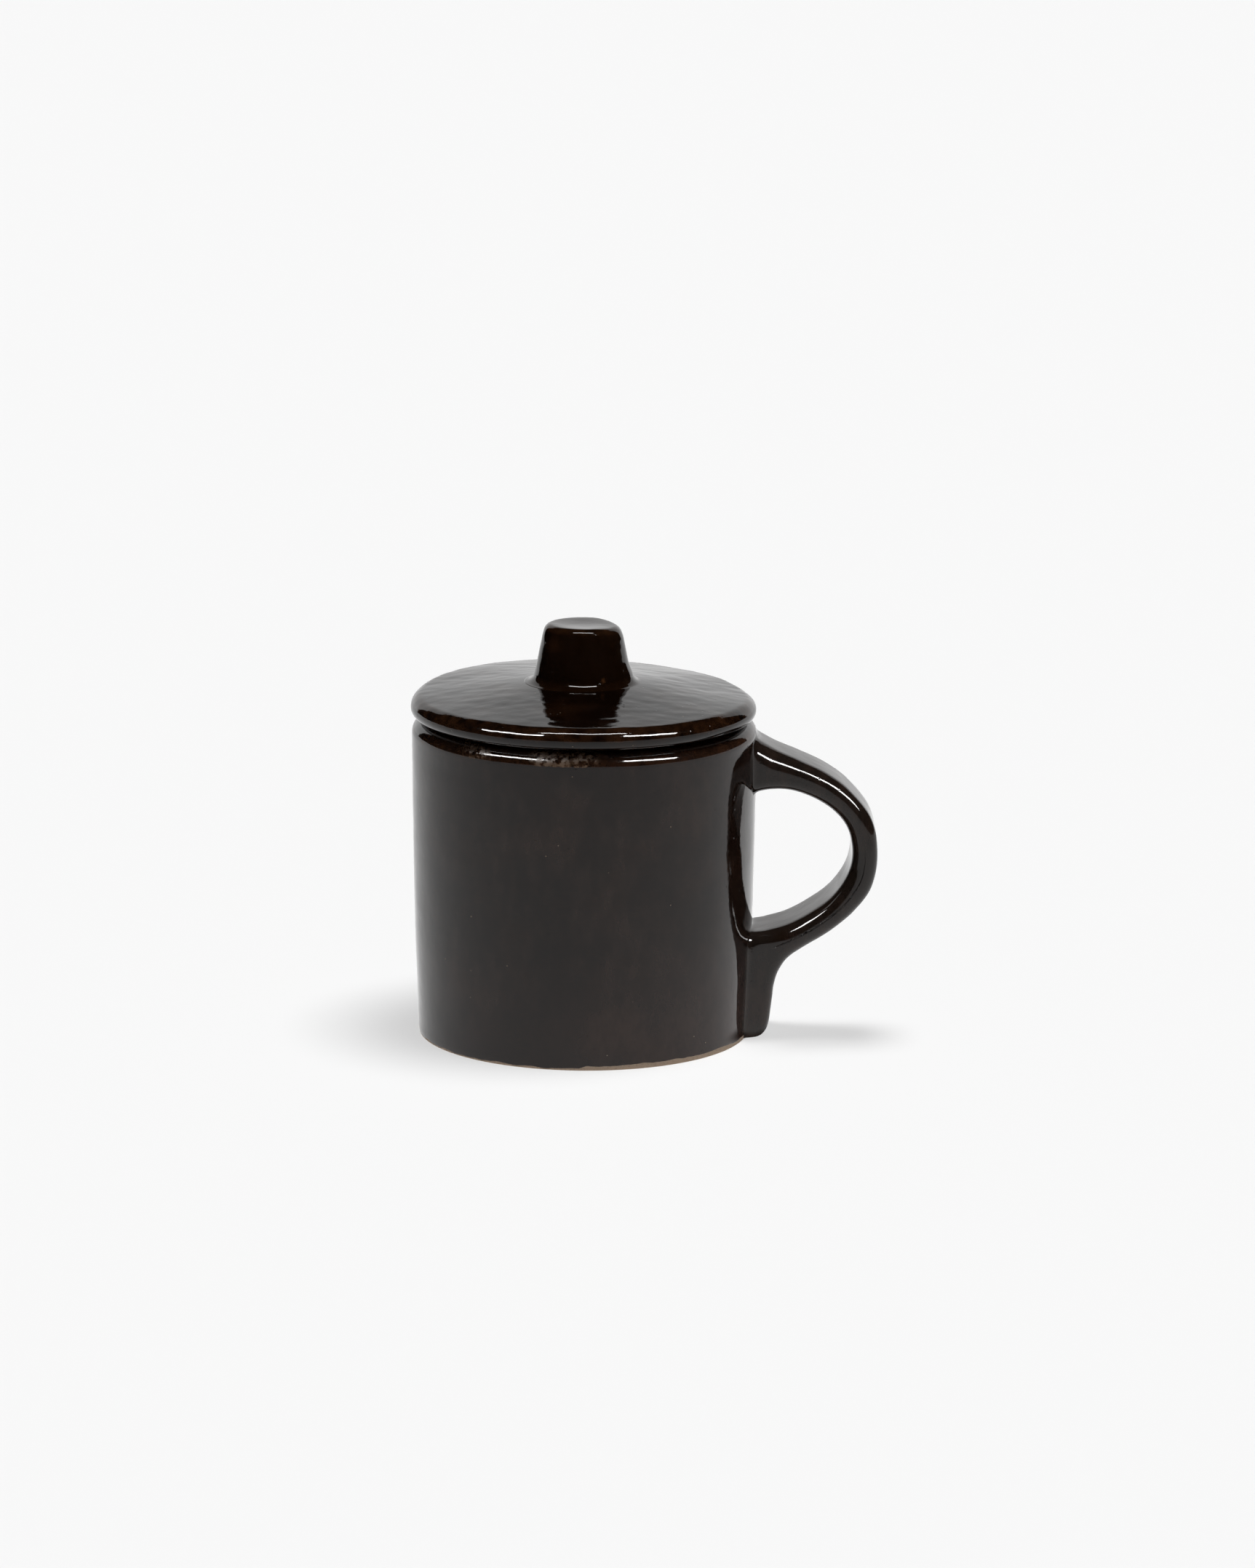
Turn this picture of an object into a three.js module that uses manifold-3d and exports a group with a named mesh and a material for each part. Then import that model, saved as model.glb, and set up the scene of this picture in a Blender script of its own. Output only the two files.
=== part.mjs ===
// A lidded stoneware sugar bowl: a straight cup-shaped bowl with one strap handle, and a loose round lid
// with a locating ring below and a tapered knob on top.
// Millimetres. The origin is the middle of the foot, on the surface that the bowl stands on.
// +Z points up along the bowl's axis and +X points towards the handle.

import * as THREE from 'three';
import { mergeVertices } from 'three/addons/utils/BufferGeometryUtils.js';
import Module from 'manifold-3d';

// ---- Bowl ----
const ROUND_STEPS = 72;        // facets around the large turned pieces
const BOWL_HEIGHT = 79.5;      // foot to rim
const FOOT_RADIUS = 40.8;      // flat, unglazed ring that meets the table
const BASE_RADIUS = 41.2;      // outside of the wall just above the foot
const BASE_ROUND_HEIGHT = 2.5; // height of the soft edge between foot and wall
const RIM_RADIUS = 42.6;       // outside of the wall at the rim
const WALL_SWELL = 0.3;        // how far the wall's side bulges at mid height
const WALL_STEPS = 4;          // straight stretches up the wall
const WALL_THICKNESS = 4.8;
const FLOOR_THICKNESS = 5.5;
const FLOOR_INSET = 1;         // how much narrower the inside is at the floor than at the rim
const INNER_CORNER = 7;        // radius where the wall runs into the bowl's floor
const RIM_ROUND_OUT = 3.6;     // radius of the rim's outer edge
const RIM_ROUND_IN = 1.1;      // radius of the rim's inner edge
const FOOT_STEPS = 4;
const EDGE_STEPS = 5;          // facets of each soft edge

// ---- Lid ----
const SEAT_GAP = 0.3;          // clearance between neighbouring solids
const PLATE_RADIUS = 42.8;     // the lid is as wide as the bowl
const PLATE_BOTTOM = BOWL_HEIGHT + SEAT_GAP;
const PLATE_EDGE_LOW = 2.3;    // lower rounding of the plate's edge
const PLATE_EDGE_HIGH = 3.2;   // upper rounding of the plate's edge
const PLATE_EDGE_ANGLE = 84;   // degrees of the upper rounding, before the sloping top starts
const PLATE_SEAT_TOP = 88.8;   // height of the plate's top where the knob stands
const RING_RADIUS = 36.4;      // outside of the ring that keeps the lid in the mouth
const RING_THICKNESS = 3.8;
const RING_DEPTH = 7;
const RING_ROUND = 1.1;
const RING_ROUND_STEPS = 3;

// ---- Knob ----
const KNOB_STEPS = 56;
const KNOB_BOTTOM = PLATE_SEAT_TOP + SEAT_GAP;
const KNOB_TOP = 103.1;
const KNOB_FOOT_RADIUS = 12.6; // flared foot of the knob
const KNOB_LOW_RADIUS = 11.8;  // just above the flare
const KNOB_HIGH_RADIUS = 9.6;  // just below the rounded top edge
const KNOB_FLARE = 1.6;        // height and width of the flare
const KNOB_FLARE_START = 250;  // degrees, where the flare leaves the knob's foot
const KNOB_FLARE_STEPS = 4;
const KNOB_ROUND = 1.8;        // radius of the top edge
const KNOB_DISH = 0.3;         // how far the top sinks in the middle
const KNOB_DISH_MIDWAY = 0.8;  // share of that depth reached halfway to the middle
const SEAT_MARGIN = 0.4;       // how far the flat under the knob reaches past it
const PLATE_SEAT_RADIUS = KNOB_FOOT_RADIUS + SEAT_MARGIN;

// ---- Handle ----
const STRAP_WIDTH = 17.4;      // width of the strap across the loop
const STRAP_ROUND = 2.6;       // softening of the strap's four edges
const STRAP_ROUND_STEPS = 4;
const TAIL_FLARE = 0.12;       // share by which the strap widens down to the end of its tail
const TAIL_FLARE_START = 34;   // height where the widening starts
const TAIL_END = 0.1;          // height of the tail's end above the table
const TAIL_ROUND = 3;          // corner radius of the tail's end, seen from the side
const TAIL_ROUND_STEPS = 4;
const STRAP_ROOT = 30;         // where the outline of the strap starts, well inside the wall
const ROOT_RISE = 2;           // how far the outline climbs on its way into the wall
const GAP_ROOT = 38.5;         // where the outline of the finger gap starts, just inside the wall
const GAP_DROP = 0.4;          // how far the gap's upper edge falls on its way into the wall
const CUT_MARGIN = 5;          // how far the cutting shape reaches past the bowl, up and down
const OUTER_STEPS = 52;
const GAP_STEPS = 44;

// Outside edge of the strap from its upper root, over the loop and down the tail: [x, z].
const STRAP_OUTER = [
  [42.3, 75.6], [47.3, 72.7], [53.3, 70.1], [59.8, 67.1], [65.8, 62.6], [69, 58.9],
  [71.3, 55], [72.9, 47.1], [71.7, 38.8], [67.2, 32.2], [61, 26.9], [55, 23.1],
  [51.1, 20.3], [48.8, 17], [47.6, 13.6], [47.2, 10.3], [46.8, 6.8], [46.5, 3.1],
];

// Edge of the finger gap from its lower root, around and back to its upper root: [x, z].
const GAP_EDGE = [
  [42.3, 26.6], [45.4, 27.5], [50.5, 29.1], [56.4, 32.3], [61.8, 36.5], [65.5, 42.2],
  [66.5, 48], [65.2, 53.6], [61.5, 58], [56.5, 61.1], [51.2, 62.9], [46.3, 63], [42.2, 62.2],
];

const MERGE_TOLERANCE = 1e-4;  // vertices closer than this are one vertex

const GLAZE_COLOUR = 0x1c120d;
const RING_COLOUR = 0x2a1b13;

const wasm = await Module();
wasm.setup();

// Points of an arc about (cx, cz), from one angle to another in degrees.
function arcPoints(cx, cz, radius, from, to, steps) {
  const points = [];
  for (let i = 0; i <= steps; i++) {
    const angle = THREE.MathUtils.degToRad(from + (to - from) * (i / steps));
    points.push(new THREE.Vector2(cx + radius * Math.cos(angle), cz + radius * Math.sin(angle)));
  }
  return points;
}

function point(radius, z) {
  return new THREE.Vector2(radius, z);
}

// Wall radius on the outside of the bowl at a height above the foot.
function wallRadius(z) {
  const share = (z - BASE_ROUND_HEIGHT) / (BOWL_HEIGHT - BASE_ROUND_HEIGHT);
  return THREE.MathUtils.lerp(BASE_RADIUS, RIM_RADIUS, share) + WALL_SWELL * Math.sin(Math.PI * share);
}

// Points up the outside of the wall, between the foot and the rim, moved out by a clearance.
function wallSide(clearance) {
  const points = [];
  for (let i = 1; i < WALL_STEPS; i++) {
    const z = THREE.MathUtils.lerp(BASE_ROUND_HEIGHT, BOWL_HEIGHT, i / WALL_STEPS);
    points.push(point(wallRadius(z) + clearance, z));
  }
  return points;
}

// Soft edge of the foot: a quarter ellipse from the flat foot up to the wall.
function footEdge(steps) {
  const points = [];
  for (let i = 0; i <= steps; i++) {
    const angle = (Math.PI / 2) * (i / steps);
    const radius = FOOT_RADIUS + (BASE_RADIUS - FOOT_RADIUS) * Math.sin(angle);
    points.push(point(radius, BASE_ROUND_HEIGHT * (1 - Math.cos(angle))));
  }
  return points;
}

function bowlProfile() {
  const outerZ = BOWL_HEIGHT - RIM_ROUND_OUT;
  const outerRadius = wallRadius(outerZ);
  const innerZ = BOWL_HEIGHT - RIM_ROUND_IN;
  const innerRadius = RIM_RADIUS - WALL_THICKNESS;
  const floorRadius = innerRadius - FLOOR_INSET;
  const cornerZ = FLOOR_THICKNESS + INNER_CORNER;
  return [
    point(0, 0),
    ...footEdge(FOOT_STEPS),
    ...wallSide(0),
    ...arcPoints(outerRadius - RIM_ROUND_OUT, outerZ, RIM_ROUND_OUT, 0, 90, EDGE_STEPS),
    ...arcPoints(innerRadius + RIM_ROUND_IN, innerZ, RIM_ROUND_IN, 90, 180, EDGE_STEPS),
    ...arcPoints(floorRadius - INNER_CORNER, cornerZ, INNER_CORNER, 0, -90, EDGE_STEPS),
    point(0, FLOOR_THICKNESS),
  ];
}

function plateProfile() {
  const edgeZ = PLATE_BOTTOM + PLATE_EDGE_LOW;
  const highRadius = PLATE_RADIUS - PLATE_EDGE_HIGH;
  return [
    point(0, PLATE_BOTTOM),
    ...arcPoints(PLATE_RADIUS - PLATE_EDGE_LOW, edgeZ, PLATE_EDGE_LOW, -90, 0, EDGE_STEPS),
    ...arcPoints(highRadius, edgeZ, PLATE_EDGE_HIGH, 0, PLATE_EDGE_ANGLE, EDGE_STEPS).slice(1),
    point(PLATE_SEAT_RADIUS, PLATE_SEAT_TOP),
    point(0, PLATE_SEAT_TOP),
  ];
}

function ringProfile() {
  const top = PLATE_BOTTOM - SEAT_GAP;
  const inner = RING_RADIUS - RING_THICKNESS;
  const roundZ = top - RING_DEPTH + RING_ROUND;
  const start = point(inner, top);
  return [
    start,
    ...arcPoints(inner + RING_ROUND, roundZ, RING_ROUND, 180, 270, RING_ROUND_STEPS),
    ...arcPoints(RING_RADIUS - RING_ROUND, roundZ, RING_ROUND, 270, 360, RING_ROUND_STEPS),
    point(RING_RADIUS, top),
    start.clone(),
  ];
}

function knobProfile() {
  const flareZ = KNOB_BOTTOM + KNOB_FLARE;
  const flareCentre = KNOB_LOW_RADIUS + KNOB_FLARE;
  const roundZ = KNOB_TOP - KNOB_ROUND;
  const highRadius = KNOB_HIGH_RADIUS - KNOB_ROUND;
  return [
    point(0, KNOB_BOTTOM),
    point(KNOB_FOOT_RADIUS, KNOB_BOTTOM),
    ...arcPoints(flareCentre, flareZ, KNOB_FLARE, KNOB_FLARE_START, 180, KNOB_FLARE_STEPS),
    ...arcPoints(highRadius, roundZ, KNOB_ROUND, 0, 90, EDGE_STEPS),
    point(highRadius / 2, KNOB_TOP - KNOB_DISH * KNOB_DISH_MIDWAY),
    point(0, KNOB_TOP - KNOB_DISH),
  ];
}

// Turned solid with the profile's axis stood up along Z.
function turned(profile, steps) {
  const geometry = new THREE.LatheGeometry(profile, steps);
  geometry.rotateX(Math.PI / 2);
  return geometry;
}

// Smooth run of points through a list of [x, z] pairs.
function smooth(pairs, steps) {
  const curve = new THREE.SplineCurve(pairs.map(([x, z]) => new THREE.Vector2(x, z)));
  return curve.getSpacedPoints(steps);
}

// Side view of the strap, drawn into the wall at its two roots, with the finger gap left open.
function strapOutline() {
  const outer = smooth(STRAP_OUTER, OUTER_STEPS);
  const cornerX = outer[outer.length - 1].x - TAIL_ROUND;
  const tailCorner = arcPoints(cornerX, TAIL_END + TAIL_ROUND, TAIL_ROUND, 0, -90, TAIL_ROUND_STEPS);
  const outline = [
    point(STRAP_ROOT, outer[0].y + ROOT_RISE),
    ...outer,
    ...tailCorner.slice(1),
    point(STRAP_ROOT, TAIL_END),
  ];
  const gap = smooth(GAP_EDGE, GAP_STEPS);
  const shape = new THREE.Shape(outline);
  shape.holes.push(new THREE.Path([
    point(GAP_ROOT, gap[0].y),
    ...gap,
    point(GAP_ROOT, gap[gap.length - 1].y - GAP_DROP),
  ]));
  return shape;
}

// The tail is pressed out wider than the loop.
function flareTail(geometry) {
  const places = geometry.attributes.position;
  for (let i = 0; i < places.count; i++) {
    const share = THREE.MathUtils.clamp((TAIL_FLARE_START - places.getZ(i)) / TAIL_FLARE_START, 0, 1);
    places.setY(i, places.getY(i) * (1 + TAIL_FLARE * share));
  }
}

// Solid strap before it is fitted to the wall: the side view made as thick as the strap is wide.
function strapBlank() {
  const geometry = new THREE.ExtrudeGeometry(strapOutline(), {
    depth: STRAP_WIDTH - 2 * STRAP_ROUND,
    bevelEnabled: true,
    bevelThickness: STRAP_ROUND,
    bevelSize: STRAP_ROUND,
    bevelOffset: -STRAP_ROUND,
    bevelSegments: STRAP_ROUND_STEPS,
  });
  geometry.translate(0, 0, STRAP_ROUND - STRAP_WIDTH / 2);
  geometry.rotateX(Math.PI / 2);
  flareTail(geometry);
  return geometry;
}

// Closed triangle mesh as a solid for joining and cutting, without the flat triangles at a lathe's axis.
function solidOf(geometry) {
  const bare = geometry.clone();
  bare.deleteAttribute('normal');
  bare.deleteAttribute('uv');
  const merged = mergeVertices(bare, MERGE_TOLERANCE);
  const index = merged.index.array;
  const triangles = [];
  for (let i = 0; i < index.length; i += 3) {
    const [a, b, c] = [index[i], index[i + 1], index[i + 2]];
    if (a !== b && b !== c && c !== a) {
      triangles.push(a, b, c);
    }
  }
  const mesh = new wasm.Mesh({
    numProp: 3,
    vertProperties: new Float32Array(merged.attributes.position.array),
    triVerts: new Uint32Array(triangles),
  });
  return new wasm.Manifold(mesh);
}

function geometryOf(solid) {
  const mesh = solid.getMesh();
  const geometry = new THREE.BufferGeometry();
  geometry.setAttribute('position', new THREE.BufferAttribute(mesh.vertProperties, 3));
  geometry.setIndex(new THREE.BufferAttribute(mesh.triVerts, 1));
  geometry.computeVertexNormals();
  return geometry;
}

// Strap fitted to the outside of the bowl, with the usual clearance.
function strapGeometry() {
  const fit = [
    point(0, -CUT_MARGIN),
    point(BASE_RADIUS + SEAT_GAP, -CUT_MARGIN),
    point(BASE_RADIUS + SEAT_GAP, BASE_ROUND_HEIGHT),
    ...wallSide(SEAT_GAP),
    point(RIM_RADIUS + SEAT_GAP, BOWL_HEIGHT),
    point(RIM_RADIUS + SEAT_GAP, BOWL_HEIGHT + CUT_MARGIN),
    point(0, BOWL_HEIGHT + CUT_MARGIN),
  ];
  return geometryOf(solidOf(strapBlank()).subtract(solidOf(turned(fit, ROUND_STEPS))));
}

function glaze() {
  return new THREE.MeshStandardMaterial({ color: GLAZE_COLOUR, roughness: 0.12, metalness: 0 });
}

function ringGlaze() {
  return new THREE.MeshStandardMaterial({ color: RING_COLOUR, roughness: 0.3, metalness: 0 });
}

function named(name, geometry, material) {
  const mesh = new THREE.Mesh(geometry, material);
  mesh.name = name;
  return mesh;
}

const pot = new THREE.Group();
pot.add(named('bowl_body', turned(bowlProfile(), ROUND_STEPS), glaze()));
pot.add(named('strap_handle', strapGeometry(), glaze()));

const lid = new THREE.Group();
lid.add(named('lid_plate', turned(plateProfile(), ROUND_STEPS), glaze()));
lid.add(named('lid_locating_ring', turned(ringProfile(), ROUND_STEPS), ringGlaze()));
lid.add(named('lid_knob', turned(knobProfile(), KNOB_STEPS), glaze()));

const sugarBowl = new THREE.Group();
sugarBowl.add(pot, lid);

export default sugarBowl;
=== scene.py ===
import math

import bpy
import numpy as np
from mathutils import Matrix, Vector, noise


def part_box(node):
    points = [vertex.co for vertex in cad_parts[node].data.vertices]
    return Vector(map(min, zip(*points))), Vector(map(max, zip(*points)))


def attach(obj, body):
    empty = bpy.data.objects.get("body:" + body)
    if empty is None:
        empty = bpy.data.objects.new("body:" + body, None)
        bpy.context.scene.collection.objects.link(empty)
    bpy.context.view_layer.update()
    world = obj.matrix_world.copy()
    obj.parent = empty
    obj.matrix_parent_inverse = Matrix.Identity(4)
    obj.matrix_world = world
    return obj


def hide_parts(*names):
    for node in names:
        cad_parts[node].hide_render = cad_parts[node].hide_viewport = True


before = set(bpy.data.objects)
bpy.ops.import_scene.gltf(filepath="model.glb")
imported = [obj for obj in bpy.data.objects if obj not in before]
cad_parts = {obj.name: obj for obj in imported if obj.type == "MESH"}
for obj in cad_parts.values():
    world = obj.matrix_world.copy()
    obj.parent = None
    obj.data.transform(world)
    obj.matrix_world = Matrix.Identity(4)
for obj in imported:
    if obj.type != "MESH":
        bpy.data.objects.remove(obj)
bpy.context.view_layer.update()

# The profiles below are drawn in millimetres and turned into metres when a mesh is made.
MM = 0.001

# ---- Sizes that come from the frame ----
BOWL_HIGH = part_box("bowl_body")[1]
PLATE_LOW, PLATE_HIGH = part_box("lid_plate")
RING_LOW, RING_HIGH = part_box("lid_locating_ring")
KNOB_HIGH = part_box("lid_knob")[1]
STRAP_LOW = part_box("strap_handle")[0]

BOWL_HEIGHT = BOWL_HIGH[2] / MM
PLATE_BOTTOM = PLATE_LOW[2] / MM
PLATE_RADIUS = PLATE_HIGH[0] / MM
PLATE_TOP = PLATE_HIGH[2] / MM
KNOB_TOP = KNOB_HIGH[2] / MM
RING_RADIUS = RING_HIGH[0] / MM
RING_BOTTOM = RING_LOW[2] / MM
STRAP_BOTTOM = STRAP_LOW[2] / MM

# ---- Bowl ----
RIM_RADIUS = 42.6
FOOT_RADIUS = 40.8
BASE_RADIUS = 41.2
BASE_ROUND = 2.5
WALL_SWELL = 0.3
WALL_THICKNESS = 4.8
FLOOR_THICKNESS = 5.5
INNER_CORNER = 7.0
RIM_ROUND_OUT = 3.6
RIM_ROUND_IN = 1.1
RIM_WAVE = 0.12
BOWL_LEAN = 0.1
FOOT_LEAN = 0.25

# ---- Lid ----
EDGE_LOW_ROUND = 2.3
EDGE_HIGH_ROUND = 3.2
EDGE_HEIGHT = PLATE_BOTTOM + EDGE_LOW_ROUND
RISE = math.radians(7.3)
PLATE_MIDDLE = 9.0
PLATE_PULL = 0.016
# Where the lid is warped: height, direction in degrees, half width in degrees.
LID_WARPS = ((0.95, 125, 42), (-0.05, 50, 25), (-0.45, 10, 22), (0.15, 90, 20))
# Ripples of the lid: height, how much they are squeezed along Y, size, seed.
LID_RIPPLES = ((0.11, 1, 13, 2.2), (0.065, 1.6, 4.5, 8.4), (0.012, 2, 1.6, 3.4))

# ---- Knob ----
KNOB_FOOT = 11.65
KNOB_SIDE = math.radians(11.5)
KNOB_ROUND = 1.9
KNOB_DISH = 0.32
KNOB_FILLET = 2.8
FILLET_TOP = math.radians(25)
KNOB_FLARE = 0.038
# The side away from the handle stands out, a little less at the top.
KNOB_OUT, KNOB_OUT_TOP = 0.7, 0.12
# The handle's side is drawn in, more at the top, and its top edge lies lower.
KNOB_IN, KNOB_IN_TOP = 0.08, 0.25
KNOB_TOP_DROP = 0.5

# ---- Locating ring ----
RING_WIDTH = 3.8
RING_ROUND = 1.1
RING_TUCK = 0.2

# ---- Strap: inner edge x, z, outer edge x, z, half width, outer and inner radius of the front corners ----
STRAP = [
    (40.6, 61.6, 40.5, 77.0, 8.9, 5.0, 2.6),
    (42.3, 62.2, 42.4, 75.5, 8.8, 5.0, 2.6),
    (46.3, 63.0, 47.3, 72.65, 8.7, 4.8, 2.6),
    (51.2, 62.85, 53.3, 70.1, 8.7, 4.4, 2.6),
    (56.5, 61.1, 59.8, 67.1, 8.7, 4.0, 2.6),
    (61.5, 58.0, 65.8, 62.6, 8.7, 3.6, 2.8),
    (65.2, 53.6, 71.2, 55.55, 8.7, 2.8, 2.9),
    (66.5, 48.0, 72.85, 47.1, 8.7, 2.5, 3.0),
    (65.5, 42.1, 71.6, 38.6, 8.7, 2.7, 3.0),
    (61.8, 36.4, 67.2, 32.15, 8.7, 2.8, 3.0),
    (56.4, 32.2, 61.0, 26.85, 8.7, 2.8, 3.1),
    (50.5, 29.0, 55.0, 23.05, 8.8, 2.8, 3.3),
    (45.4, 27.4, 51.0, 20.3, 8.9, 2.6, 3.3),
    (40.9, 25.9, 48.7, 17.0, 9.1, 2.5, 3.1),
    (38.9, 20.0, 47.6, 13.6, 9.3, 2.4, 1.2),
    (38.6, 12.0, 47.2, 10.3, 9.45, 2.4, 0.8),
    (38.5, 6.8, 46.8, 6.8, 9.55, 2.4, 0.8),
    (38.5, 4.4, 46.5, 4.4, 9.6, 2.4, 0.8),
    (38.5, 2.6, 46.0, 2.6, 9.6, 2.3, 0.8),
    (38.5, 1.2, 45.1, 1.2, 9.5, 2.1, 0.8),
    (38.5, 0.5, 44.1, 0.5, 9.2, 1.8, 0.8),
    (38.5, 0.1, 42.9, 0.1, 8.4, 1.5, 0.8),
]
STRAP_STEPS = 12
STRAP_CROWN = 0.08
STRAP_BACK = 0.45
STRAP_LEAN = 0.8
WALL_FILLET = 1.5
CORNER_EDGE = 0.45
FLAT_EDGE = 0.25


def arc(cx, cz, radius, start, stop, steps):
    """Points of an arc about (cx, cz), angles in degrees."""
    angles = np.radians(np.linspace(start, stop, steps + 1))
    return [(cx + radius * math.cos(a), cz + radius * math.sin(a)) for a in angles]


def run(start, stop, steps):
    """Points between two ends, without the ends."""
    share = np.linspace(0, 1, steps + 1)[1:-1]
    return [(start[0] + (stop[0] - start[0]) * s, start[1] + (stop[1] - start[1]) * s) for s in share]


def wave(point, size, seed):
    """Smooth noise between about -1 and 1, with bumps about size millimetres across."""
    return noise.noise(Vector(point) / size + Vector((seed, seed * 1.7, seed * 2.3)))


def smooth_step(low, high, value):
    share = min(max((value - low) / (high - low), 0.0), 1.0)
    return share * share * (3 - 2 * share)


def wall_radius(z):
    share = (z - BASE_ROUND) / (BOWL_HEIGHT - BASE_ROUND)
    swell = WALL_SWELL * math.sin(math.pi * min(max(share, 0), 1))
    return BASE_RADIUS + (RIM_RADIUS - BASE_RADIUS) * share + swell


def plate_top(radius):
    """Height of the lid's upper face, before the warp."""
    corner = PLATE_RADIUS - EDGE_HIGH_ROUND + EDGE_HIGH_ROUND * math.sin(RISE)
    corner_z = EDGE_HEIGHT + EDGE_HIGH_ROUND * math.cos(RISE)
    return corner_z + (corner - radius) * math.tan(RISE)


def bump(angle, centre, width):
    """A smooth hump around one direction, in degrees."""
    gap = (angle - centre + 180) % 360 - 180
    return math.exp(-(gap / width) ** 2)


# ---- Mesh making ----
# How strongly a bend in the profile counts as an edge where the glaze runs thin.
EDGE_GAIN = 3.4


def outward(profile, closed):
    """Unit normals and signed bend of a profile that runs counter-clockwise round its solid."""
    points = np.array(profile)
    if closed:
        before = np.roll(points, 1, axis=0)
        after = np.roll(points, -1, axis=0)
    else:
        before = np.vstack([points[:1], points[:-1]])
        after = np.vstack([points[1:], points[-1:]])
    along = after - before
    length = np.maximum(np.hypot(along[:, 0], along[:, 1]), 1e-9)
    normals = np.column_stack([along[:, 1], -along[:, 0]]) / length[:, None]
    first = points - before
    second = after - points
    turn = np.arctan2(
        first[:, 0] * second[:, 1] - first[:, 1] * second[:, 0],
        (first * second).sum(axis=1),
    )
    bend = turn / (length / 2)
    return normals, bend


def put_attribute(mesh, name, values):
    layer = mesh.attributes.new(name, "FLOAT", "POINT")
    layer.data.foreach_set("value", np.asarray(values, dtype=np.float32))


def finish_mesh(name, vertices, faces, edge):
    mesh = bpy.data.meshes.new(name)
    mesh.from_pydata([tuple(c * MM for c in v) for v in vertices], [], faces)
    mesh.validate()
    put_attribute(mesh, "edge", edge)
    mesh.polygons.foreach_set("use_smooth", [True] * len(mesh.polygons))
    mesh.update()
    piece = bpy.data.objects.new(name, mesh)
    bpy.context.scene.collection.objects.link(piece)
    return piece


def turned(name, profile, around, shape, closed=False):
    """A solid turned about Z. shape moves each point and may use its normal."""
    normals, bend = outward(profile, closed)
    vertices = []
    edge = []
    rings = []
    for (radius, z), (nr, nz), turn in zip(profile, normals, bend):
        count = 1 if radius < 1e-6 else around
        rings.append((len(vertices), count))
        for k in range(count):
            angle = 2 * math.pi * k / around
            cos, sin = math.cos(angle), math.sin(angle)
            vertices.append(shape((radius * cos, radius * sin, z), (nr * cos, nr * sin, nz)))
            edge.append(min(max(turn * EDGE_GAIN, -1), 1) * smooth_step(-0.35, 0.15, nz))
    faces = []
    pairs = list(zip(rings, rings[1:]))
    if closed:
        pairs.append((rings[-1], rings[0]))
    for (a, count_a), (b, count_b) in pairs:
        for k in range(around):
            m = (k + 1) % around
            if count_a == 1:
                faces.append((a, b + m, b + k))
            elif count_b == 1:
                faces.append((a + k, a + m, b))
            else:
                faces.append((a + k, a + m, b + m, b + k))
    return finish_mesh(name, vertices, faces, edge)


# ---- Bowl ----
def bowl_profile():
    rim_z = BOWL_HEIGHT - RIM_ROUND_OUT
    outer = wall_radius(rim_z)
    inner = RIM_RADIUS - WALL_THICKNESS
    floor = inner - 1
    foot = []
    for a in np.radians(np.linspace(0, 90, 9)):
        foot.append((FOOT_RADIUS + (BASE_RADIUS - FOOT_RADIUS) * math.sin(a), BASE_ROUND * (1 - math.cos(a))))
    wall = [(wall_radius(z), z) for z in np.linspace(BASE_ROUND, rim_z, 86)[1:-1]]
    rim = arc(outer - RIM_ROUND_OUT, rim_z, RIM_ROUND_OUT, 0, 90, 16)
    rim_in = arc(inner + RIM_ROUND_IN, BOWL_HEIGHT - RIM_ROUND_IN, RIM_ROUND_IN, 90, 180, 9)
    corner = arc(floor - INNER_CORNER, FLOOR_THICKNESS + INNER_CORNER, INNER_CORNER, 0, -90, 12)
    profile = [(0, 0)]
    profile += run((0, 0), foot[0], 24)
    profile += foot + wall + rim + rim_in
    profile += run(rim_in[-1], corner[0], 40)
    profile += corner
    profile += run(corner[-1], (0, FLOOR_THICKNESS), 20)
    profile.append((0, FLOOR_THICKNESS))
    return profile


def bowl_shape(point, normal):
    """Hand-turned clay: slow unevenness and faint throwing rings, with the foot left flat."""
    x, y, z = point
    lift = smooth_step(0.0, 4.0, z)
    slow = 0.10 * wave(point, 26, 3.1) + 0.05 * wave(point, 9, 7.7)
    rings = 0.03 * wave((x * 0.15, y * 0.15, z), 3.2, 1.3)
    rim = RIM_WAVE * wave((x, y, 0), 14, 5.9) * smooth_step(BOWL_HEIGHT - 4, BOWL_HEIGHT - 1, z)
    push = (slow + rings) * lift
    lean = BOWL_LEAN + FOOT_LEAN * (1 - z / BOWL_HEIGHT)
    z_new = z + normal[2] * push * 0.5 + rim - RIM_WAVE * (rim != 0)
    return (x + lean + normal[0] * push, y + normal[1] * push, z_new)


# ---- Lid ----
def plate_profile():
    low = arc(PLATE_RADIUS - EDGE_LOW_ROUND, EDGE_HEIGHT, EDGE_LOW_ROUND, -90, 0, 12)
    high = arc(PLATE_RADIUS - EDGE_HIGH_ROUND, EDGE_HEIGHT, EDGE_HIGH_ROUND, 0, 90 - math.degrees(RISE), 14)
    middle = (PLATE_MIDDLE, plate_top(PLATE_MIDDLE))
    profile = [(0, PLATE_BOTTOM)]
    profile += run((0, PLATE_BOTTOM), low[0], 30)
    profile += low + high[1:]
    profile += run(high[-1], middle, 60)
    profile += [middle, (0, middle[1])]
    return profile


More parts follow.
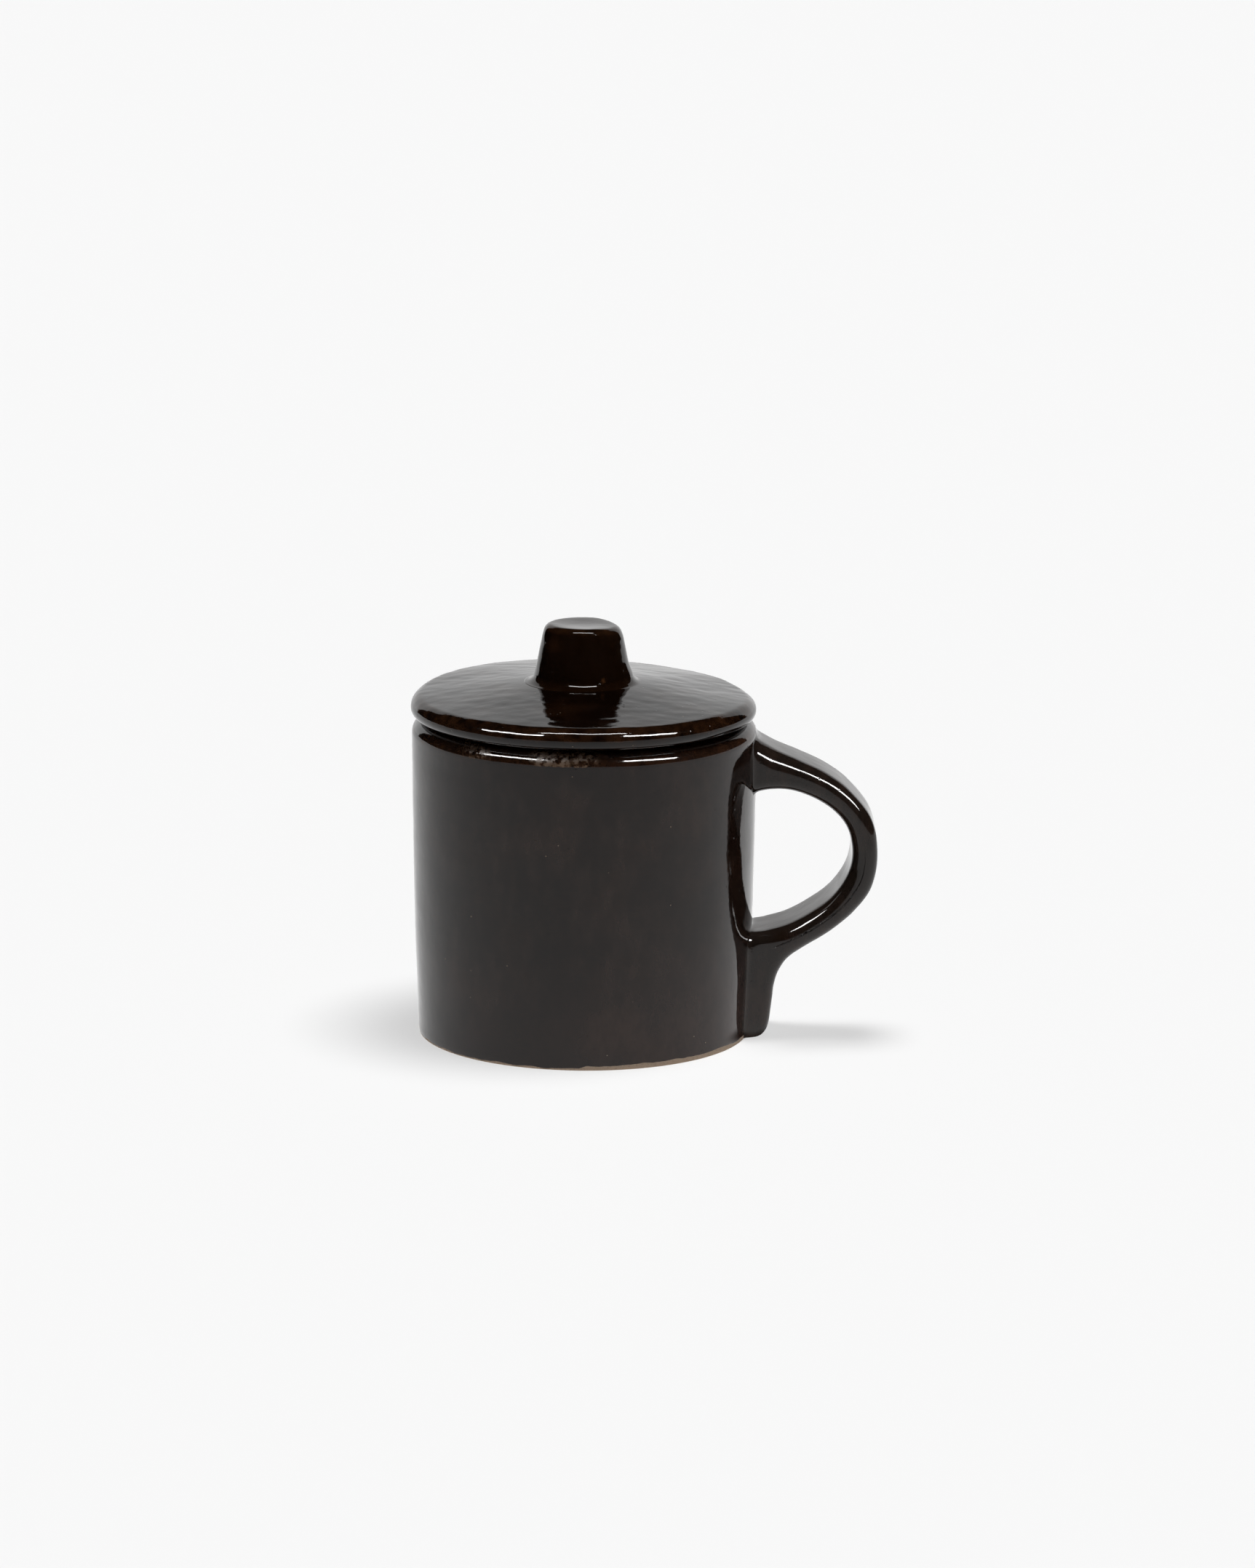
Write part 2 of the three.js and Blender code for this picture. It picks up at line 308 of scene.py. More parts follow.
def lid_lift(x, y):
    """How much the lid's upper face is warped at a place."""
    radius = math.hypot(x, y)
    angle = math.degrees(math.atan2(y, x))
    share = smooth_step(12, 42, radius)
    warp = sum(height * bump(angle, centre, width) for height, centre, width in LID_WARPS)
    slow = sum(height * wave((x, y * squeeze, 0), size, seed) for height, squeeze, size, seed in LID_RIPPLES)
    return warp * share + slow * smooth_step(14.6, 20, radius)


def plate_shape(point, normal):
    x, y, z = point
    radius = math.hypot(x, y)
    angle = math.degrees(math.atan2(y, x))
    upper = smooth_step(EDGE_HEIGHT - 0.5, EDGE_HEIGHT + EDGE_HIGH_ROUND * 0.9, z)
    pull = 1 - PLATE_PULL * bump(angle, 26, 26) * smooth_step(30, 42, radius)
    push = 0.05 * wave(point, 11, 4.2)
    z += lid_lift(x, y) * upper
    return (x * pull + normal[0] * push, y * pull + normal[1] * push, z)


# ---- Knob ----
def knob_profile():
    """Starts under the skirt, which lies on the lid's upper face."""
    centre_x = KNOB_FOOT + KNOB_FILLET * math.cos(FILLET_TOP)
    centre_z = plate_top(centre_x) + KNOB_FILLET
    skirt = arc(centre_x, centre_z, KNOB_FILLET, 270 - math.degrees(RISE), 180 + math.degrees(FILLET_TOP), 14)
    top_z = KNOB_TOP - KNOB_ROUND
    start = skirt[-1]
    top_radius = start[0] - (top_z - start[1]) * math.tan(KNOB_SIDE)
    crown = arc(top_radius - KNOB_ROUND, top_z, KNOB_ROUND, math.degrees(KNOB_SIDE), 90, 12)
    face = []
    for share in np.linspace(1, 0, 11)[1:]:
        sink = KNOB_DISH * (1 - share * share) ** 1.5
        face.append((crown[-1][0] * share, KNOB_TOP - sink))
    under = [(0, plate_top(0) - 1.5), (skirt[0][0] - 1.5, skirt[0][1] - 1.2)]
    lip = (skirt[0][0] + 0.5, plate_top(skirt[0][0] + 0.5) - 0.12)
    profile = [under[0]] + run(under[0], under[1], 6) + [under[1], lip]
    profile += skirt
    profile += run(skirt[-1], crown[0], 22)
    profile += crown + face
    return profile


def knob_shape(point, normal):
    """The knob leans a little and is fuller on the side away from the handle."""
    x, y, z = point
    side = smooth_step(-2, 9, -x)
    far = smooth_step(2, 9, x)
    top = smooth_step(KNOB_TOP - 3.5, KNOB_TOP - 0.5, z)
    push = 0.035 * wave(point, 8, 6.1) + 0.02 * wave(point, 2.2, 9.4)
    push *= smooth_step(PLATE_TOP + 0.3, PLATE_TOP + 2.5, z)
    above_foot = smooth_step(PLATE_TOP + 1.4, PLATE_TOP + 5.5, z)
    low = (1 - above_foot) * smooth_step(PLATE_TOP - 1, PLATE_TOP + 1, z)
    grown = smooth_step(PLATE_TOP + 2, PLATE_TOP + 5, z)
    flare = 1 + KNOB_FLARE * low * min(max(x, 0.0) / KNOB_FOOT, 1) ** 2
    out = KNOB_OUT - KNOB_OUT_TOP * top
    drawn = KNOB_IN * grown + KNOB_IN_TOP * top
    x_new = x * flare + normal[0] * push - out * side - drawn * far
    y_new = y + normal[1] * push
    z_new = z + normal[2] * push * 0.7 - KNOB_TOP_DROP * top * far
    return (x_new, y_new, z_new)


# ---- Locating ring ----
def ring_profile():
    top = PLATE_BOTTOM + RING_TUCK
    inner = RING_RADIUS - RING_WIDTH
    low = RING_BOTTOM + RING_ROUND
    profile = [(inner, top)]
    profile += run((inner, top), (inner, low), 8)
    profile += arc(inner + RING_ROUND, low, RING_ROUND, 180, 270, 6)
    profile += arc(RING_RADIUS - RING_ROUND, low, RING_ROUND, 270, 360, 6)
    profile += run((RING_RADIUS, low), (RING_RADIUS, top), 8)
    profile.append((RING_RADIUS, top))
    return profile


def ring_shape(point, normal):
    push = 0.08 * wave(point, 8, 3.3)
    x, y, z = point
    return (x + normal[0] * push, y + normal[1] * push, z)


# ---- Strap handle ----
def spline(stations, steps):
    """Catmull-Rom curve through stations of any number of values."""
    rows = np.array(stations, dtype=float)
    padded = np.vstack([2 * rows[0] - rows[1], rows, 2 * rows[-1] - rows[-2]])
    result = []
    for i in range(1, len(padded) - 2):
        a, b, c, d = padded[i - 1:i + 3]
        for t in np.linspace(0, 1, steps, endpoint=False):
            tangent_b = (c - a) / 2
            tangent_c = (d - b) / 2
            h = t * t * (3 - 2 * t)
            g = t * (1 - t) ** 2
            k = t * t * (t - 1)
            result.append(b * (1 - h) + c * h + tangent_b * g + tangent_c * k)
    result.append(rows[-1])
    return result


def section(thick, wide, outer_round, inner_round):
    """Rounded rectangle as points (across thickness, across width), their normals and edge values."""
    outer_round = min(outer_round, thick * 0.96, wide * 0.96)
    inner_round = min(inner_round, 2 * thick - outer_round - 0.05, wide * 0.96)
    outer_back = outer_round * STRAP_BACK
    inner_back = inner_round * STRAP_BACK
    corners = [
        (thick - outer_back, wide - outer_back, outer_back, 0),
        (inner_back - thick, wide - inner_back, inner_back, 90),
        (inner_round - thick, inner_round - wide, inner_round, 180),
        (thick - outer_round, outer_round - wide, outer_round, 270),
    ]
    flats = [12, 10, 12, 10]
    points = []
    for (cu, cv, radius, start), flat in zip(corners, flats):
        here = []
        for a in np.radians(np.linspace(start, start + 90, 10)):
            cos, sin = math.cos(a), math.sin(a)
            here.append((cu + radius * cos, cv + radius * sin, cos, sin, CORNER_EDGE))
        points.append((here, flat))
    loop = []
    for index, (here, flat) in enumerate(points):
        loop += here
        end = here[-1]
        start = points[(index + 1) % 4][0][0]
        for s in np.linspace(0, 1, flat + 1)[1:-1]:
            near = max(0.0, 1 - 4 * min(s, 1 - s))
            loop.append((
                end[0] + (start[0] - end[0]) * s, end[1] + (start[1] - end[1]) * s,
                end[2], end[3], near * FLAT_EDGE,
            ))
    crowned = []
    for u, v, nu, nv, edge in loop:
        crown = STRAP_CROWN * (1 - (v / wide) ** 2) * (1 if u > 0 else -1) * min(1, abs(u) / thick) ** 3
        crowned.append((u + crown, v, nu, nv, edge))
    return crowned


def strap_point(centre, out, wide, row):
    """Place of one section point, flared where the strap meets the wall.

    The lower arm's upper face leans towards the viewer's side.
    """
    u, v, nu, nv, edge = row
    lean = STRAP_LEAN * max(0.0, -out[1]) * smooth_step(43, 50, centre[0])
    u += lean * (1 - v / wide) / 2 * (u < 0)
    point = np.array([centre[0] + out[0] * u, v, centre[1] + out[1] * u])
    normal = np.array([out[0] * nu, nv, out[1] * nu])
    push = 0.07 * wave(point, 9, 1.9) + 0.03 * wave(point, 3.5, 4.4)
    point = point + normal * push
    radius = math.hypot(point[0], point[1])
    away = radius - wall_radius(point[2])
    if away < WALL_FILLET:
        share = 1 - max(away, 0.0) / WALL_FILLET
        flare = WALL_FILLET * (1 - math.sqrt(max(0.0, 1 - share * share)))
        radial = np.array([point[0] / radius, point[1] / radius, 0])
        sideways = normal - radial * float(normal @ radial)
        point = point + sideways * flare
    point[2] = max(point[2], STRAP_BOTTOM)
    return tuple(point)


def strap_piece():
    rows = spline(STRAP, STRAP_STEPS)
    vertices = []
    edge = []
    for inner_x, inner_z, outer_x, outer_z, wide, outer_round, inner_round in rows:
        centre = ((inner_x + outer_x) / 2, (inner_z + outer_z) / 2)
        gap = (outer_x - inner_x, outer_z - inner_z)
        length = math.hypot(*gap)
        out = (gap[0] / length, gap[1] / length)
        loop = section(length / 2, wide, outer_round, inner_round)
        count = len(loop)
        for row in loop:
            vertices.append(strap_point(centre, out, wide, row))
            edge.append(row[4])
    faces = []
    for i in range(len(rows) - 1):
        for k in range(count):
            m = (k + 1) % count
            a = i * count
            b = a + count
            faces.append((a + k, b + k, b + m, a + m))
    last = (len(rows) - 1) * count
    faces.append(tuple(range(count)))
    faces.append(tuple(last + k for k in reversed(range(count))))
    return finish_mesh("strap", vertices, faces, edge)


# ---- Materials ----
def node(tree, kind, inputs=None, **settings):
    made = tree.nodes.new(kind)
    for key, value in settings.items():
        setattr(made, key, value)
    for key, value in (inputs or {}).items():
        socket = made.inputs[key]
        if isinstance(value, bpy.types.NodeSocket):
            tree.links.new(value, socket)
        else:
            socket.default_value = value
    return made


def maths(tree, operation, first, second, clamp=False):
    made = node(tree, "ShaderNodeMath", {0: first, 1: second}, operation=operation, use_clamp=clamp)
    return made.outputs[0]


def ramp(tree, value, low, high):
    """0 below low, 1 above high, smooth between."""
    made = node(tree, "ShaderNodeMapRange", {"Value": value, "From Min": low, "From Max": high})
    made.interpolation_type = "SMOOTHSTEP"
    return made.outputs["Result"]


def mix_colour(tree, share, first, second):
    made = tree.nodes.new("ShaderNodeMix")
    made.data_type = "RGBA"
    for socket, value in ((0, share), (6, first), (7, second)):
        if isinstance(value, bpy.types.NodeSocket):
            tree.links.new(value, made.inputs[socket])
        elif socket == 0:
            made.inputs[socket].default_value = value
        else:
            made.inputs[socket].default_value = (*value, 1)
    return made.outputs[2]


def mix_value(tree, share, first, second):
    return node(tree, "ShaderNodeMix", {0: share, 2: first, 3: second}).outputs[0]


def noise_value(tree, place, scale, detail=2.0, roughness=0.5):
    inputs = {"Vector": place, "Scale": scale, "Detail": detail, "Roughness": roughness}
    return node(tree, "ShaderNodeTexNoise", inputs).outputs["Fac"]


BLACK_BROWN = (0.0058, 0.0027, 0.0015)
STRAP_BROWN = (0.0165, 0.0115, 0.0090)
KNOB_BROWN = (0.0092, 0.0034, 0.0010)
DEEP_BROWN = (0.0135, 0.0055, 0.0022)
BREAK_BROWN = (0.034, 0.0135, 0.0055)
BREAK_TAN = (0.16, 0.092, 0.048)
SPOT_BROWN = (0.105, 0.042, 0.016)
LID_BLACK = (0.0034, 0.0013, 0.0006)
RUSSET = (0.040, 0.024, 0.018)
WARM_BROWN = (0.045, 0.026, 0.021)
SPECK_COLOUR = (0.26, 0.20, 0.14)
CLAY_COLOUR = (0.35, 0.265, 0.175)
CLAY_PINK = (0.38, 0.27, 0.20)
CLAY_DUST = (0.13, 0.09, 0.06)

GLAZE_IOR = 1.5
SMOOTH_ROUGHNESS = 0.045
DULL_ROUGHNESS = 0.085
WORN_ROUGHNESS = 0.42
CLAY_ROUGHNESS = 0.86
# Height of the bare clay in metres: on the side away from the handle, on the handle's side, and its waviness.
CLAY_LINE_LOW = 0.00045
CLAY_LINE_HIGH = 0.0012
CLAY_LINE_WAVE = 0.0013
CLAY_LINE_SOFT = 0.00008


def glaze_colour(tree, place, edge, base, brown, tan, russet):
    """Near-black body with russet mottling, breaking to brown and tan on the edges.

    Gives the colour, and the mask of the tan patches.
    """
    broad = noise_value(tree, place, 70, 3)
    middle = noise_value(tree, place, 260, 4, 0.62)
    fine = noise_value(tree, place, 800, 3, 0.6)
    colour = mix_colour(tree, ramp(tree, broad, 0.45, 0.75), base, DEEP_BROWN)
    streaks = node(tree, "ShaderNodeMapping", {"Vector": place, "Scale": (1.0, 1.0, 0.4)}).outputs[0]
    slow = noise_value(tree, place, 34, 4, 0.6)
    cloud = maths(tree, "MULTIPLY", slow, noise_value(tree, streaks, 300, 3, 0.6))
    cloud = maths(tree, "MULTIPLY", ramp(tree, cloud, 0.20, 0.40), russet)
    colour = mix_colour(tree, cloud, colour, RUSSET)
    worn = maths(tree, "MULTIPLY", maths(tree, "MULTIPLY", edge, middle), brown)
    colour = mix_colour(tree, ramp(tree, worn, 0.24, 0.60), colour, BREAK_BROWN)
    patch = maths(tree, "MULTIPLY", worn, ramp(tree, fine, 0.25, 0.60))
    patch = ramp(tree, maths(tree, "MULTIPLY", patch, tan), 0.25, 0.72)
    return mix_colour(tree, patch, colour, BREAK_TAN), patch


def band(tree, value, low, high, soft):
    """1 between low and high, with soft sides."""
    rise = ramp(tree, value, low - soft, low + soft)
    fall = ramp(tree, value, high + soft, high - soft)
    return maths(tree, "MULTIPLY", rise, fall)


def rim_wear(tree, place):
    """Two places on the front of the bowl's rim where the glaze has run thin."""
    axes = node(tree, "ShaderNodeSeparateXYZ", {"Vector": place}).outputs
    front = ramp(tree, axes["Y"], -0.015, -0.025)
    middle = band(tree, axes["X"], -0.013, 0.004, 0.003)
    left = maths(tree, "MULTIPLY", band(tree, axes["X"], -0.030, -0.022, 0.003), 0.9)
    worn = maths(tree, "ADD", maths(tree, "ADD", middle, left, True), 0.28)
    return maths(tree, "MULTIPLY", worn, front)


def worn_spot(tree, place, spot):
    """A small patch where the glaze has broken to brown: centre and radius in millimetres, and strength."""
    x, y, z, radius, strength = spot
    gap = node(tree, "ShaderNodeVectorMath", {0: place, 1: (x * MM, y * MM, z * MM)}, operation="DISTANCE")
    ragged = maths(tree, "MULTIPLY", noise_value(tree, place, 1500, 3), radius * 1.2 * MM)
    near = maths(tree, "ADD", gap.outputs["Value"], ragged)
    return maths(tree, "MULTIPLY", ramp(tree, near, radius * 1.6 * MM, radius * 0.7 * MM), strength)


def foot_warmth(tree, place):
    """The glaze is thinner and browner towards the foot, most of all on the handle's side."""
    axes = node(tree, "ShaderNodeSeparateXYZ", {"Vector": place}).outputs
    low = mix_value(tree, ramp(tree, axes["Z"], 0.032, 0.004), 0.3, 1.0)
    side = mix_value(tree, ramp(tree, axes["X"], -0.012, 0.022), 0.45, 1.0)
    return maths(tree, "MULTIPLY", maths(tree, "MULTIPLY", low, side), noise_value(tree, place, 90, 3))


def speck_mask(tree, place, scale, share, size):
    """Small scattered dots: a share of the cells hold one."""
    cells = node(tree, "ShaderNodeTexVoronoi", {"Vector": place, "Scale": scale})
    dot = ramp(tree, cells.outputs["Distance"], size, size * 0.45)
    chance = node(tree, "ShaderNodeSeparateColor", {"Color": cells.outputs["Color"]}).outputs["Red"]
    chosen = maths(tree, "LESS_THAN", chance, share)
    return maths(tree, "MULTIPLY", dot, chosen)


def glaze_height(tree, place, pits):
    """Skin of the glaze: ripples, a fine orange peel and small open pits."""
    ripple = noise_value(tree, place, 190, 2)
    peel = noise_value(tree, place, 950, 2)
    height = maths(tree, "ADD", ripple, maths(tree, "MULTIPLY", peel, 0.16))
    return maths(tree, "SUBTRACT", height, maths(tree, "MULTIPLY", pits, 0.5))


def glaze_material(
    name, base=BLACK_BROWN, brown=1.0, tan=0.3, russet=0.25, body=False, spots=(), depth=0.055,
):
    """The glaze of one piece.

    body adds the bowl's worn rim, warm foot and bare clay. depth, in millimetres, is that of the skin.
    """
    material = bpy.data.materials.new(name)
    material.use_nodes = True
    tree = material.node_tree
    shader = tree.nodes["Principled BSDF"]
    place = node(tree, "ShaderNodeTexCoord").outputs["Object"]
    edge = node(tree, "ShaderNodeAttribute", attribute_name="edge").outputs["Fac"]
    specks = speck_mask(tree, place, 330, 0.22, 0.07)
    pits = speck_mask(tree, place, 620, 0.10, 0.20)
    wear = rim_wear(tree, place) if body else tan
    colour, patch = glaze_colour(tree, place, edge, base, brown, wear, russet)
    if body:
        colour = mix_colour(tree, foot_warmth(tree, place), colour, WARM_BROWN)
    for spot in spots:
        colour = mix_colour(tree, worn_spot(tree, place, spot), colour, SPOT_BROWN)
    colour = mix_colour(tree, maths(tree, "MULTIPLY", specks, 0.8), colour, SPECK_COLOUR)
    cloud = noise_value(tree, place, 120, 3)
    rough = mix_value(tree, ramp(tree, cloud, 0.3, 0.7), SMOOTH_ROUGHNESS, DULL_ROUGHNESS)
    rough = mix_value(tree, patch, rough, WORN_ROUGHNESS)
    height = glaze_height(tree, place, pits)
    if body:
        clay = clay_mask(tree, place)
        grain = noise_value(tree, place, 2600, 3, 0.7)
        tone = mix_colour(tree, noise_value(tree, place, 240, 3), CLAY_COLOUR, CLAY_PINK)
        dust = maths(tree, "MULTIPLY", ramp(tree, grain, 0.45, 0.7), 0.45)
        dusty = mix_colour(tree, dust, tone, CLAY_DUST)
        colour = mix_colour(tree, clay, colour, dusty)
        rough = mix_value(tree, clay, rough, CLAY_ROUGHNESS)
        height = mix_value(tree, clay, height, maths(tree, "MULTIPLY", grain, 0.5))
    skin = node(tree, "ShaderNodeBump", {"Strength": 1.0, "Distance": depth * MM, "Height": height})
    tree.links.new(colour, shader.inputs["Base Color"])
    tree.links.new(rough, shader.inputs["Roughness"])
    tree.links.new(skin.outputs["Normal"], shader.inputs["Normal"])
    shader.inputs["IOR"].default_value = GLAZE_IOR
    return material


def clay_mask(tree, place):
    """Bare clay under a wavy glaze line: higher on the handle's side of the front, hair-thin on the other."""
    axes = node(tree, "ShaderNodeSeparateXYZ", {"Vector": place}).outputs
    ripple = noise_value(tree, place, 160, 2)
    side = ramp(tree, axes["X"], -0.001, 0.002)
    line = mix_value(tree, side, CLAY_LINE_LOW, CLAY_LINE_HIGH)
    wavy = maths(tree, "MULTIPLY", maths(tree, "SUBTRACT", ripple, 0.5), CLAY_LINE_WAVE)
    line = maths(tree, "ADD", line, wavy)
    above = maths(tree, "SUBTRACT", axes["Z"], line)
    return ramp(tree, above, CLAY_LINE_SOFT, -CLAY_LINE_SOFT)


# ---- Stage ----
FLOOR_RADIUS = 9.0
FLOOR_ALBEDO = 0.5
# The floor's own glow and what the two suns add come to about the dome's glow.
FLOOR_GLOW = 0.2963
DOME_GLOW = 0.94
DOME_RADIUS = FLOOR_RADIUS * 1.05
CARD_DROP = 0.0004
# The floor card: glow at the front and back, then its gain near the bowl and further out.
CARD_FRONT, CARD_BACK = 0.55, 0.93
CARD_NEAR, CARD_FAR = 1.16, 0.84
# The card has a painted contact shadow, dark under the handle's tail (place and half sizes in metres), and
# fades out over this X range.
TAIL_X, TAIL_LONG, TAIL_WIDE = 0.043, 0.0085, 0.017
DARK_LEFT = (-1.5, -1.3)
BACKDROP_SPAN = (90 - 43, 90 + 37)
BACKDROP_RADIUS = 3.0
BACKDROP_TOP = 2.25
STRIP_GLOW = 34
TOP_GLOW = 22
GLINT_GLOW = 26
WORLD_GREY = 0.004


def emission_material(name, colour, strength):
    material = bpy.data.materials.new(name)
    material.use_nodes = True
    tree = material.node_tree
    tree.nodes.clear()
    light = node(tree, "ShaderNodeEmission", {"Color": (*colour, 1), "Strength": strength})
    out = node(tree, "ShaderNodeOutputMaterial")
    tree.links.new(light.outputs[0], out.inputs["Surface"])
    return material, tree, light


def stage_mesh(name, vertices, faces, material):
    mesh = bpy.data.meshes.new(name)
    mesh.from_pydata(vertices, [], faces)
    mesh.materials.append(material)
    made = bpy.data.objects.new(name, mesh)
    bpy.context.scene.collection.objects.link(made)
    return made


def only_seen_in_gloss(made):
    made.visible_camera = False
    made.visible_diffuse = False
    made.visible_transmission = False
    made.visible_shadow = False
    made.visible_glossy = True


def disc(radius, z, steps=96):
    ring = [2 * math.pi * k / steps for k in range(steps)]
    vertices = [(0, 0, z)] + [(radius * math.cos(a), radius * math.sin(a), z) for a in ring]
    faces = [(0, 1 + k, 1 + (k + 1) % steps) for k in range(steps)]
    return vertices, faces


def make_floor():
    material = bpy.data.materials.new("pale_floor")
    material.use_nodes = True
    tree = material.node_tree
    shader = tree.nodes["Principled BSDF"]
    shader.inputs["Base Color"].default_value = (FLOOR_ALBEDO, FLOOR_ALBEDO, FLOOR_ALBEDO, 1)
    shader.inputs["Roughness"].default_value = 1.0
    shader.inputs["Specular IOR Level"].default_value = 0.0
    shader.inputs["Emission Color"].default_value = (1, 1, 1, 1)
    shader.inputs["Emission Strength"].default_value = FLOOR_GLOW
    vertices, faces = disc(FLOOR_RADIUS, 0.0)
    floor = stage_mesh("floor", vertices, faces, material)
    floor.visible_glossy = False
    return floor


def make_dome():
    """Pale surroundings for the camera alone, so that every view has the same plain ground."""
    material, _, _ = emission_material("pale_dome", (1, 1, 1), DOME_GLOW)
    rows, columns = 16, 48
    vertices = []
    for i in range(rows + 1):
        rise = math.radians(-90 + 180 * i / rows)
        for k in range(columns):
            turn = 2 * math.pi * k / columns
            vertices.append((
                DOME_RADIUS * math.cos(rise) * math.cos(turn),
                DOME_RADIUS * math.cos(rise) * math.sin(turn),
                DOME_RADIUS * math.sin(rise),
            ))
    faces = []
    for i in range(rows):
        for k in range(columns):
            m = (k + 1) % columns
            a = i * columns
            b = a + columns
            faces.append((a + k, a + m, b + m, b + k))
    dome = stage_mesh("dome", vertices, faces, material)
    dome.visible_glossy = False
    dome.visible_diffuse = False
    dome.visible_shadow = False
    dome.visible_transmission = False


def make_floor_card():
    """The floor as the glaze mirrors it: dimmer towards the front, brighter at the back and near the bowl."""
    material, tree, light = emission_material("floor_card", (1, 1, 1), 1.0)
    place = node(tree, "ShaderNodeTexCoord").outputs["Object"]
    flat = node(tree, "ShaderNodeVectorMath", {0: place}, operation="NORMALIZE").outputs[0]
    toward_back = node(tree, "ShaderNodeSeparateXYZ", {"Vector": flat}).outputs["Y"]
    glow = node(tree, "ShaderNodeMapRange", {
        "Value": toward_back, "From Min": -1.0, "From Max": 1.0, "To Min": CARD_FRONT, "To Max": CARD_BACK,
    }).outputs["Result"]
    away = node(tree, "ShaderNodeVectorMath", {0: place}, operation="LENGTH").outputs["Value"]
    fade = node(tree, "ShaderNodeMapRange", {
        "Value": away, "From Min": 0.04, "From Max": 0.5, "To Min": CARD_NEAR, "To Max": CARD_FAR,
    }).outputs["Result"]
    # Painted contact shadow under the handle's tail, as the glaze mirrors the floor.
    tail_shadow = node(tree, "ShaderNodeMapping", {
        "Vector": place, "Location": (-TAIL_X / TAIL_LONG, 0, 0), "Scale": (1 / TAIL_LONG, 1 / TAIL_WIDE, 0),
    }).outputs[0]
    near = node(tree, "ShaderNodeVectorMath", {0: tail_shadow}, operation="LENGTH").outputs["Value"]
    glow = maths(tree, "MULTIPLY", maths(tree, "MULTIPLY", glow, fade), ramp(tree, near, 0.45, 1.05))
    across = node(tree, "ShaderNodeSeparateXYZ", {"Vector": place}).outputs["X"]
    glow = maths(tree, "MULTIPLY", glow, ramp(tree, across, *DARK_LEFT))
    tree.links.new(glow, light.inputs["Strength"])
    vertices, faces = disc(FLOOR_RADIUS, -CARD_DROP)
    only_seen_in_gloss(stage_mesh("floor_card", vertices, faces, material))


def make_backdrop():
    """Bright sweep behind the object, up to about 37 degrees, as the glaze mirrors it."""
    material, tree, light = emission_material("backdrop_card", (1, 1, 1), 1.0)
    place = node(tree, "ShaderNodeTexCoord").outputs["Object"]
    height = node(tree, "ShaderNodeSeparateXYZ", {"Vector": place}).outputs["Z"]
    glow = node(tree, "ShaderNodeMapRange", {
        "Value": height, "From Min": 0.0, "From Max": 2.2, "To Min": 0.9, "To Max": 0.55,
    }).outputs["Result"]
    tree.links.new(glow, light.inputs["Strength"])
    steps = 32
    first, last = BACKDROP_SPAN
    vertices = []
    for k in range(steps + 1):
        turn = math.radians(first + (last - first) * k / steps)
        x, y = BACKDROP_RADIUS * math.cos(turn), BACKDROP_RADIUS * math.sin(turn)
        vertices += [(x, y, -0.001), (x, y, BACKDROP_TOP)]
    faces = [(2 * k, 2 * k + 1, 2 * k + 3, 2 * k + 2) for k in range(steps)]
    only_seen_in_gloss(stage_mesh("backdrop", vertices, faces, material))


def sun(name, azimuth, elevation, spread, strength):
    """Soft daylight from one side, which the glaze does not mirror. Angles in degrees."""
    data = bpy.data.lights.new(name, "SUN")
    data.energy = strength
    data.angle = math.radians(spread)
    light = bpy.data.objects.new(name, data)
    place = Vector(toward(azimuth, elevation, 2.0))
    light.location = place
    light.rotation_euler = place.to_track_quat("Z", "Y").to_euler()
    bpy.context.scene.collection.objects.link(light)
    light.visible_glossy = False
    return light


def strip_light(name, start, end, width, strength):
    """A bright strip between two places, seen only in the glaze's reflections."""
    material, _, _ = emission_material(name, (1, 1, 1), strength)
    a, b = Vector(start), Vector(end)
    along = (b - a).normalized()
    inward = (-(a + b) / 2).normalized()
    across = along.cross(inward).normalized() * width / 2
    vertices = [tuple(a - across), tuple(b - across), tuple(b + across), tuple(a + across)]
    strip = stage_mesh(name, vertices, [(0, 1, 2, 3)], material)
    only_seen_in_gloss(strip)
    return strip


def grouped(name, pieces):
    group = bpy.data.collections.new(name)
    for piece in pieces:
        group.objects.link(piece)
    return group


def shine_on(light, pieces):
    """This light falls on these pieces alone."""
    light.light_linking.receiver_collection = grouped(light.name + "_lit", pieces)


def shaded_by(light, pieces):
    """Only these pieces cast a shadow in this light."""
    light.light_linking.blocker_collection = grouped(light.name + "_blockers", pieces)


def toward(azimuth, elevation, distance):
    """A place seen from the lid in a direction: azimuth 0 is the viewer's side, 90 the handle's side."""
    turn, rise = math.radians(azimuth), math.radians(elevation)
    flat = distance * math.cos(rise)
    return (flat * math.sin(turn), -flat * math.cos(turn), PLATE_TOP * MM + distance * math.sin(rise))


